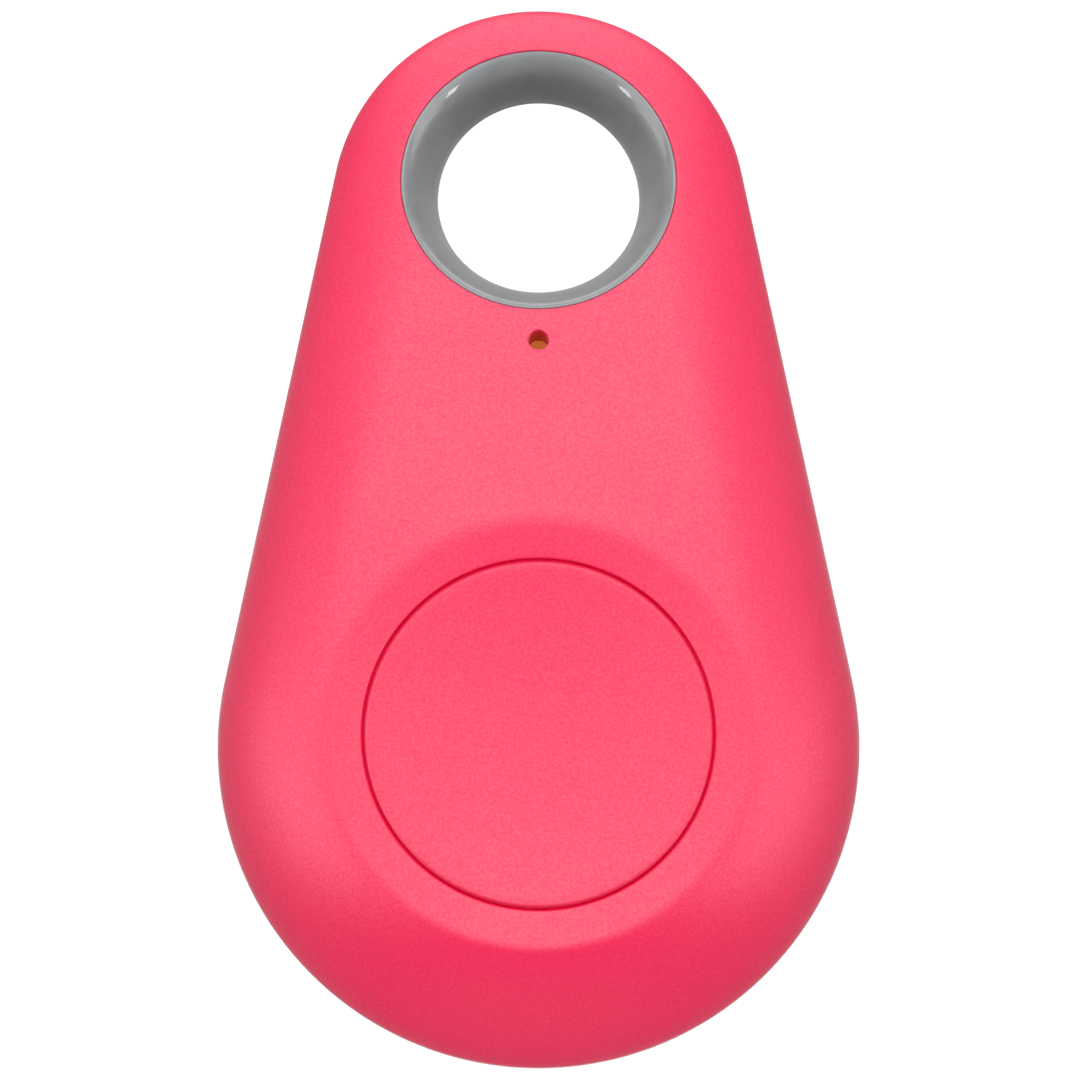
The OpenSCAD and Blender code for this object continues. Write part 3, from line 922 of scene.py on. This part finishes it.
PANEL_DISTANCE = 0.45
WHITE = (1, 1, 1, 1)


def area_light(name, elevation, side, size, power, lights="all"):
    """A soft panel near the tag, raised above the floor by an elevation in degrees on one side.

    It may light everything, only the body colour, or only the sheen and the reflections.
    """
    raised = math.radians(elevation)
    data = bpy.data.lights.new(name, "AREA")
    data.shape = "RECTANGLE"
    data.size, data.size_y = size
    data.energy = power
    lamp = bpy.data.objects.new(name, data)
    bpy.context.scene.collection.objects.link(lamp)
    away = Vector((side[0] * math.cos(raised), side[1] * math.cos(raised), math.sin(raised)))
    lamp.location = away * PANEL_DISTANCE
    lamp.rotation_euler = away.to_track_quat("Z", "Y").to_euler()
    lamp.visible_camera = False
    lamp.visible_glossy = lights != "body"
    lamp.visible_diffuse = lights != "sheen"


def split_by_ray(tree, ray, first, second, socket):
    """Uses the first shader for one kind of ray and the second for the rest."""
    path = tree.nodes.new("ShaderNodeLightPath")
    mix = tree.nodes.new("ShaderNodeMixShader")
    tree.links.new(path.outputs[ray], mix.inputs["Fac"])
    tree.links.new(second, mix.inputs[1])
    tree.links.new(first, mix.inputs[2])
    tree.links.new(mix.outputs[0], socket)


def stage_floor():
    """A wide white floor, bright to look at, which throws little light back up."""
    mesh = bpy.data.meshes.new("floor")
    half = 3.0
    corners = [(-half, -half, 0), (half, -half, 0), (half, half, 0), (-half, half, 0)]
    mesh.from_pydata(corners, [], [(0, 1, 2, 3)])
    floor = bpy.data.objects.new("floor", mesh)
    bpy.context.scene.collection.objects.link(floor)
    material, shader = new_material("floor", Roughness=0.9)
    shader.inputs["Base Color"].default_value = (0.05, 0.05, 0.05, 1)
    shader.inputs["Emission Color"].default_value = WHITE
    tree = material.node_tree
    path = tree.nodes.new("ShaderNodeLightPath")
    strength = tree.nodes.new("ShaderNodeMath")
    strength.operation = "MULTIPLY_ADD"
    extra_when_seen, in_reflections = 0.5, 0.53
    strength.inputs[1].default_value = extra_when_seen
    strength.inputs[2].default_value = in_reflections
    tree.links.new(path.outputs["Is Camera Ray"], strength.inputs[0])
    tree.links.new(strength.outputs[0], shader.inputs["Emission Strength"])
    dim = tree.nodes.new("ShaderNodeBsdfDiffuse")
    dim.inputs["Color"].default_value = (0.2, 0.2, 0.2, 1)
    surface = tree.nodes["Material Output"].inputs["Surface"]
    split_by_ray(tree, "Is Diffuse Ray", dim.outputs[0], shader.outputs[0], surface)
    mesh.materials.append(material)


def studio():
    """Soft panels behind the ring end, at both sides and low at the front, and a white surround."""
    scene = bpy.context.scene
    scene.view_settings.view_transform = "Standard"
    world = bpy.data.worlds.new("studio")
    world.use_nodes = True
    tree = world.node_tree
    lit = tree.nodes["Background"]
    lit.inputs["Color"].default_value = WHITE
    lit.inputs["Strength"].default_value = 0.03
    seen = tree.nodes.new("ShaderNodeBackground")
    seen.inputs["Color"].default_value = WHITE
    surround = tree.nodes["World Output"].inputs["Surface"]
    split_by_ray(tree, "Is Camera Ray", seen.outputs[0], lit.outputs[0], surround)
    scene.world = world
    back, front, left, right = (0, 1), (0, -1), (-1, 0), (1, 0)
    area_light("key", 60, back, (0.4, 0.2), 1.04)
    area_light("high", 75, back, (0.3, 0.15), 0.22)
    area_light("back_low", 10, back, (0.6, 0.1), 0.26)
    area_light("back_low_sheen", 11, back, (0.6, 0.1), 0.8, "sheen")
    area_light("back_sheen", 25, back, (0.5, 0.2), 0.64, "sheen")
    area_light("front_fill", 12, front, (0.4, 0.12), 0.87, "body")
    forward = math.radians(25)
    for name, side in (("left", left), ("right", right)):
        area_light(name + "_high", 60, side, (0.25, 0.3), 0.53)
        area_light(name + "_low", 12, side, (0.3, 0.12), 0.25)
        area_light(name + "_sheen", 32, side, (0.25, 0.3), 0.65, "sheen")
        turned_forward = (side[0] * math.cos(forward), -math.sin(forward))
        area_light(name + "_glint", 30, turned_forward, (0.06, 0.1), 0.4, "sheen")


def camera():
    """A long lens above the tag, tipped a little towards the round end."""
    data = bpy.data.cameras.new("camera")
    cam = bpy.data.objects.new("camera", data)
    bpy.context.scene.collection.objects.link(cam)
    tilt = math.radians(8.6)
    distance = 0.220
    data.sensor_width = 36
    data.lens = 150.7
    data.clip_start = 0.01
    target = (0.00007, -0.00045, SEAM_Z * MM)
    back, up = distance * math.sin(tilt), distance * math.cos(tilt)
    cam.location = (target[0], target[1] - back, target[2] + up)
    cam.rotation_euler = (tilt, 0, 0)
    bpy.context.scene.camera = cam


stage_floor()
studio()
camera()
